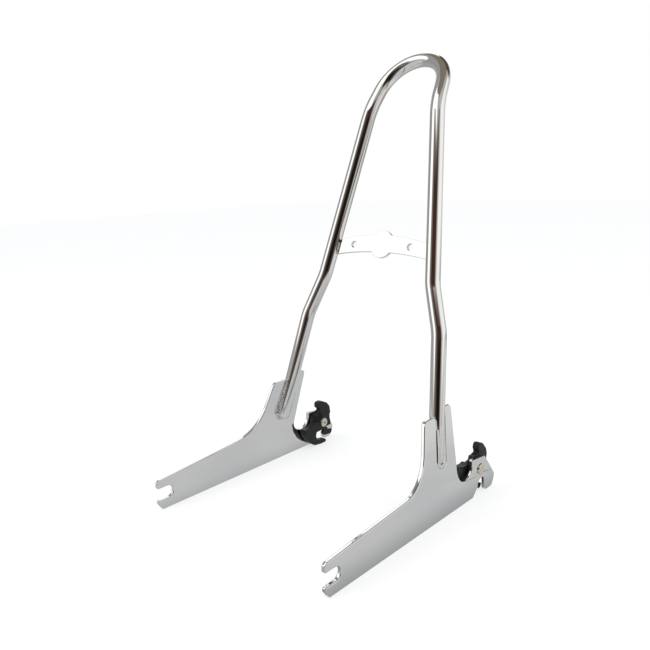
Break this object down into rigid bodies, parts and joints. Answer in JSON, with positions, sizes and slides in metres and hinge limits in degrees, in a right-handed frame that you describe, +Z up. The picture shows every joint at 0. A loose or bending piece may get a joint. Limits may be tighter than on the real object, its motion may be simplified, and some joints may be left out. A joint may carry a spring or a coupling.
{
  "type": "detachable passenger backrest bar",
  "caption": "Bent chrome tube hoop welded between two side plates with fork slots in front, docking slots behind and black rotary latches, with a crossbar plate for a backrest pad.",
  "frame": {"origin": "centre of the whole length and width, in the plane of the plates' bottom edges", "axes": "+X across to the near plate of the picture, +Y to the rear where the docking slots are, +Z up"},
  "size_m": [0.2484, 0.3222, 0.468],
  "materials": {
    "tube_chrome": "mirror chrome over bent steel tube",
    "plate_chrome": "mirror chrome over flat steel plate",
    "bar_chrome": "mirror chrome over flat steel plate",
    "smooth_weld": "ground weld under chrome",
    "rough_weld": "rippled weld bead under chrome",
    "latch_plastic": "moulded black plastic, fine grain",
    "nickel": "satin nickel plate",
    "plain_steel": "zinc plated steel"
  },
  "bodies": {
    "frame": {"hoop": "tube_chrome", "side_plate_left": "plate_chrome", "side_plate_right": "plate_chrome", "crossbar": "bar_chrome", "outer_weld_left": "smooth_weld", "outer_weld_right": "smooth_weld", "inner_weld_left": "rough_weld", "inner_weld_right": "rough_weld", "crossbar_weld_left": "rough_weld", "crossbar_weld_right": "rough_weld", "rivet_left": "nickel", "rivet_right": "nickel", "sleeve_left": "plain_steel", "sleeve_right": "plain_steel", "washer_left": "plain_steel", "washer_right": "plain_steel"},
    "latch_left": {"latch_left": "latch_plastic"},
    "latch_right": {"latch_right": "latch_plastic"}
  },
  "joints": [
    {"name": "latch_left_turn", "type": "hinge", "parent": "frame", "child": "latch_left", "pos_m": [-0.112, 0.08165, 0.0282], "axis": [-1, 0, 0], "range_deg": [0, 22]},
    {"name": "latch_right_turn", "type": "hinge", "parent": "frame", "child": "latch_right", "pos_m": [0.112, 0.08165, 0.0282], "axis": [-1, 0, 0], "range_deg": [-22, 0]}
  ]
}
